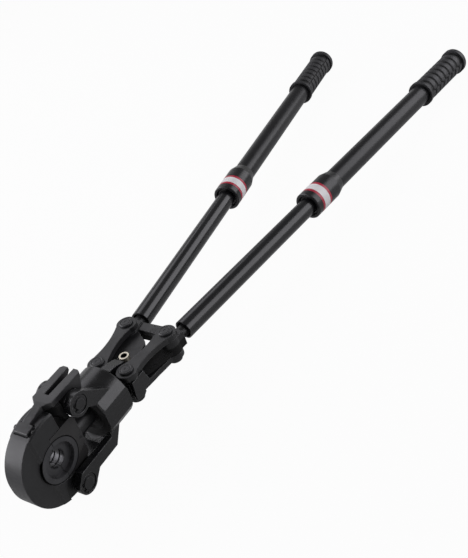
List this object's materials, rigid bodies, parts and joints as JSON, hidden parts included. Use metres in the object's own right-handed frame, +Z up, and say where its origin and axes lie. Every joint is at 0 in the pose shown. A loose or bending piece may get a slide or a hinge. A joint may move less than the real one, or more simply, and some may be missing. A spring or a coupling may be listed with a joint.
{
  "type": "manual press tool",
  "caption": "Hand-driven radial press tool with a hinged C jaw, round die pair, swivel head, toggle links and telescopic handles with ribbed grips.",
  "frame": {"origin": "centre of the crimping bore, on its axis, midway across the dies", "axes": "+X along the crimping bore towards the right-hand handle, +Y along the tool from the jaw to the grips, +Z up along the link pins towards the latch"},
  "size_m": [0.235, 0.7932, 0.0982],
  "materials": {
    "forged_black": "satin",
    "phosphated_steel": "matte",
    "die_steel": "satin",
    "bright_steel": "satin",
    "bronze": "satin",
    "seal_rubber": "matte",
    "tube_black": "gloss",
    "collar_plastic": "satin",
    "label_film": "satin",
    "grip_rubber": "matte"
  },
  "bodies": {
    "rear_body": {"rear_body": "forged_black", "swivel_ring": "bright_steel"},
    "crosshead": {"crosshead": "phosphated_steel", "ram_pins": "bright_steel", "pivot_screw": "bright_steel", "pivot_nut": "bright_steel"},
    "head": {"yoke": "forged_black", "ram_bush": "bronze", "wiper_ring": "seal_rubber", "jaw_pin": "bright_steel", "jaw_pin_clips": "phosphated_steel", "latch_keeper": "phosphated_steel", "keeper_pin": "bright_steel", "keeper_pin_clips": "phosphated_steel"},
    "ram": {"ram_rod": "bright_steel", "die_carrier": "phosphated_steel", "carrier_pin": "bright_steel", "rear_die": "die_steel", "rear_die_plunger": "bright_steel"},
    "jaw": {"jaw": "phosphated_steel", "front_die": "die_steel", "front_die_plunger": "bright_steel", "latch_pin": "bright_steel"},
    "latch": {"latch": "phosphated_steel"},
    "right_handle": {"right_bracket": "forged_black", "right_inner_tube": "tube_black", "right_tube_bush": "collar_plastic"},
    "right_links": {"right_upper_link": "phosphated_steel", "right_lower_link": "phosphated_steel", "right_front_pin": "phosphated_steel", "right_rear_pin": "phosphated_steel", "right_pin_nuts": "phosphated_steel"},
    "right_extension": {"right_outer_tube": "tube_black", "right_collet": "collar_plastic", "right_grip": "grip_rubber", "right_end_plug": "collar_plastic"},
    "right_lock": {"right_collar": "collar_plastic", "right_band": "label_film"},
    "left_handle": {"left_bracket": "forged_black", "left_inner_tube": "tube_black", "left_tube_bush": "collar_plastic"},
    "left_links": {"left_upper_link": "phosphated_steel", "left_lower_link": "phosphated_steel", "left_front_pin": "phosphated_steel", "left_rear_pin": "phosphated_steel", "left_pin_nuts": "phosphated_steel"},
    "left_extension": {"left_outer_tube": "tube_black", "left_collet": "collar_plastic", "left_grip": "grip_rubber", "left_end_plug": "collar_plastic"},
    "left_lock": {"left_collar": "collar_plastic", "left_band": "label_film"}
  },
  "joints": [
    {"name": "head_swivel", "type": "hinge", "parent": "rear_body", "child": "head", "pos_m": [0, 0.07, 0], "axis": [0, 1, 0], "continuous": true},
    {"name": "crosshead_slide", "type": "slide", "parent": "rear_body", "child": "crosshead", "axis": [0, 1, 0], "range_m": [0, 0.0123]},
    {"name": "ram_slide", "type": "slide", "parent": "head", "child": "ram", "axis": [0, 1, 0], "range_m": [0, 0.0123]},
    {"name": "jaw_hinge", "type": "hinge", "parent": "head", "child": "jaw", "pos_m": [0, 0.0083, -0.0364], "axis": [1, 0, 0], "range_deg": [0, 45]},
    {"name": "latch_hinge", "type": "hinge", "parent": "jaw", "child": "latch", "pos_m": [0, -0.008, 0.04238], "axis": [1, 0, 0], "range_deg": [0, 90]},
    {"name": "right_handle_swing", "type": "hinge", "parent": "crosshead", "child": "right_handle", "pos_m": [0, 0.114, 0], "axis": [0, 0, -1], "range_deg": [0, 30]},
    {"name": "right_link_pin", "type": "hinge", "parent": "right_handle", "child": "right_links", "pos_m": [0.0241, 0.151, 0], "axis": [0, 0, 1], "range_deg": [0, 12.8]},
    {"name": "right_telescope", "type": "slide", "parent": "right_handle", "child": "right_extension", "axis": [0.1267, 0.9919, 0], "range_m": [-0.2, 0]},
    {"name": "right_collar_twist", "type": "hinge", "parent": "right_extension", "child": "right_lock", "pos_m": [0.0241, 0.151, 0], "axis": [0.1267, 0.9919, 0], "range_deg": [0, 90]},
    {"name": "left_handle_swing", "type": "hinge", "parent": "crosshead", "child": "left_handle", "pos_m": [0, 0.114, 0], "axis": [0, 0, 1], "range_deg": [0, 30]},
    {"name": "left_link_pin", "type": "hinge", "parent": "left_handle", "child": "left_links", "pos_m": [-0.0241, 0.151, 0], "axis": [0, 0, -1], "range_deg": [0, 12.8]},
    {"name": "left_telescope", "type": "slide", "parent": "left_handle", "child": "left_extension", "axis": [-0.1267, 0.9919, 0], "range_m": [-0.2, 0]},
    {"name": "left_collar_twist", "type": "hinge", "parent": "left_extension", "child": "left_lock", "pos_m": [-0.0241, 0.151, 0], "axis": [-0.1267, 0.9919, 0], "range_deg": [0, 90]}
  ],
  "couplings": [
    {"joint": "crosshead_slide", "follows": "right_handle_swing", "m_per_rad": 0.02349},
    {"joint": "ram_slide", "follows": "right_handle_swing", "m_per_rad": 0.02349},
    {"joint": "left_handle_swing", "follows": "right_handle_swing", "ratio": 1},
    {"joint": "jaw_hinge", "follows": "latch_hinge", "ratio": 0.5},
    {"joint": "right_link_pin", "follows": "right_handle_swing", "ratio": 0.4258},
    {"joint": "left_link_pin", "follows": "right_handle_swing", "ratio": 0.4258}
  ]
}
